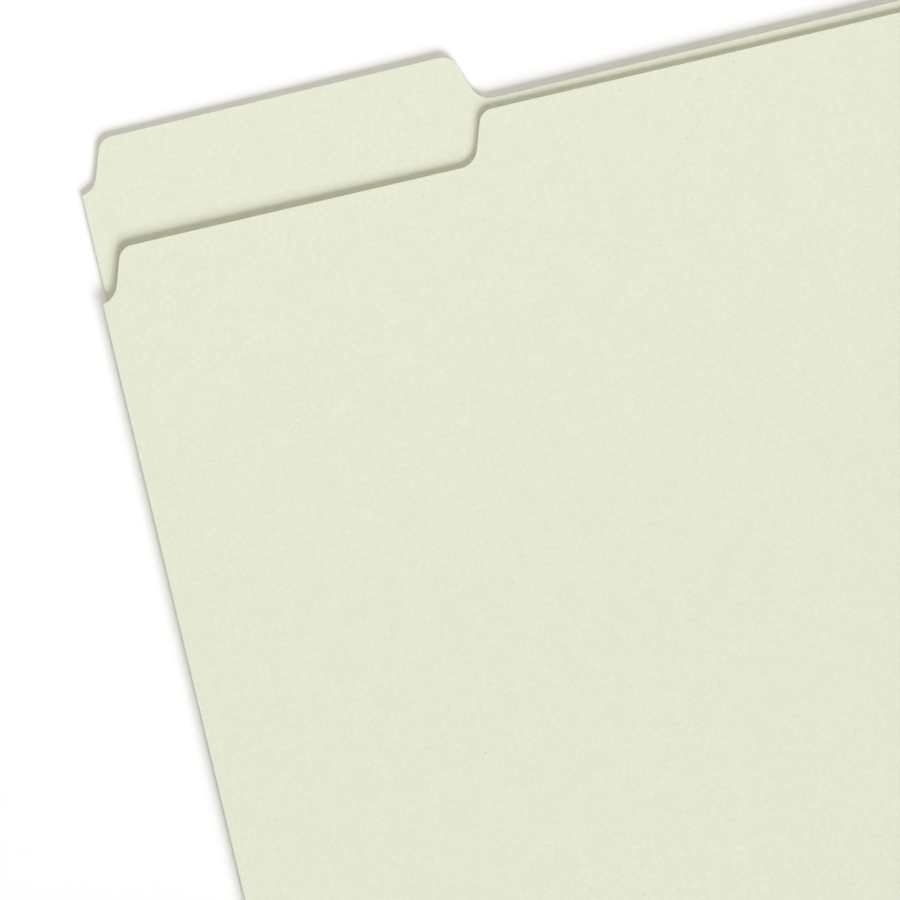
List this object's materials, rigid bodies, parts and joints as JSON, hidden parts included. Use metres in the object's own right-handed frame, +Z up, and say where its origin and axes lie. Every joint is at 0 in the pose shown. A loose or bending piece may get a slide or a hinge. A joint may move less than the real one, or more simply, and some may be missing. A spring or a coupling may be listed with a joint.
{
  "type": "top tab file folder",
  "caption": "Closed pressboard file folder with a tab at the top left, an undercut front cover and a creased cloth gusset along the bottom that opens and expands.",
  "frame": {"origin": "centre of the closed folder's footprint, at the level it lies on", "axes": "+X along the covers' width to the right, +Y from the gusset towards the tab, +Z up through the closed covers"},
  "size_m": [0.2996, 0.2554, 0.0024],
  "materials": {
    "pressboard": "matte",
    "gusset_cloth": "matte",
    "lining_tape": "matte"
  },
  "bodies": {
    "back": {"back_board": "pressboard", "back_cloth_flange": "gusset_cloth", "back_lining_flange": "lining_tape"},
    "back_hinge": {"back_hinge_cloth": "gusset_cloth", "back_hinge_lining": "lining_tape"},
    "back_leaf": {"back_leaf_cloth": "gusset_cloth", "back_leaf_lining": "lining_tape"},
    "front_leaf": {"front_leaf_cloth": "gusset_cloth", "front_leaf_lining": "lining_tape"},
    "front_hinge": {"front_hinge_cloth": "gusset_cloth", "front_hinge_lining": "lining_tape"},
    "front": {"front_board": "pressboard", "front_cloth_flange": "gusset_cloth", "front_lining_flange": "lining_tape"}
  },
  "joints": [
    {"name": "back_swing", "type": "hinge", "parent": "back", "child": "back_hinge", "pos_m": [0, -0.11355, -0.0001], "axis": [1, 0, 0], "range_deg": [0, 180]},
    {"name": "back_crease", "type": "hinge", "parent": "back_hinge", "child": "back_leaf", "pos_m": [0, -0.11515, 0.0004], "axis": [-1, 0, 0], "range_deg": [0, 50.8]},
    {"name": "gusset_spread", "type": "slide", "parent": "back_hinge", "child": "front_hinge", "axis": [0, 0, 1], "range_m": [0, 0.01905]},
    {"name": "front_crease", "type": "hinge", "parent": "front_hinge", "child": "front_leaf", "pos_m": [0, -0.11515, 0.002], "axis": [1, 0, 0], "range_deg": [0, 50.8]},
    {"name": "front_swing", "type": "hinge", "parent": "front_hinge", "child": "front", "pos_m": [0, -0.11355, 0.0025], "axis": [1, 0, 0], "range_deg": [0, 180]}
  ],
  "couplings": [
    {"joint": "back_crease", "follows": "gusset_spread", "rad_per_m": 46.52},
    {"joint": "front_crease", "follows": "gusset_spread", "rad_per_m": 46.52}
  ]
}
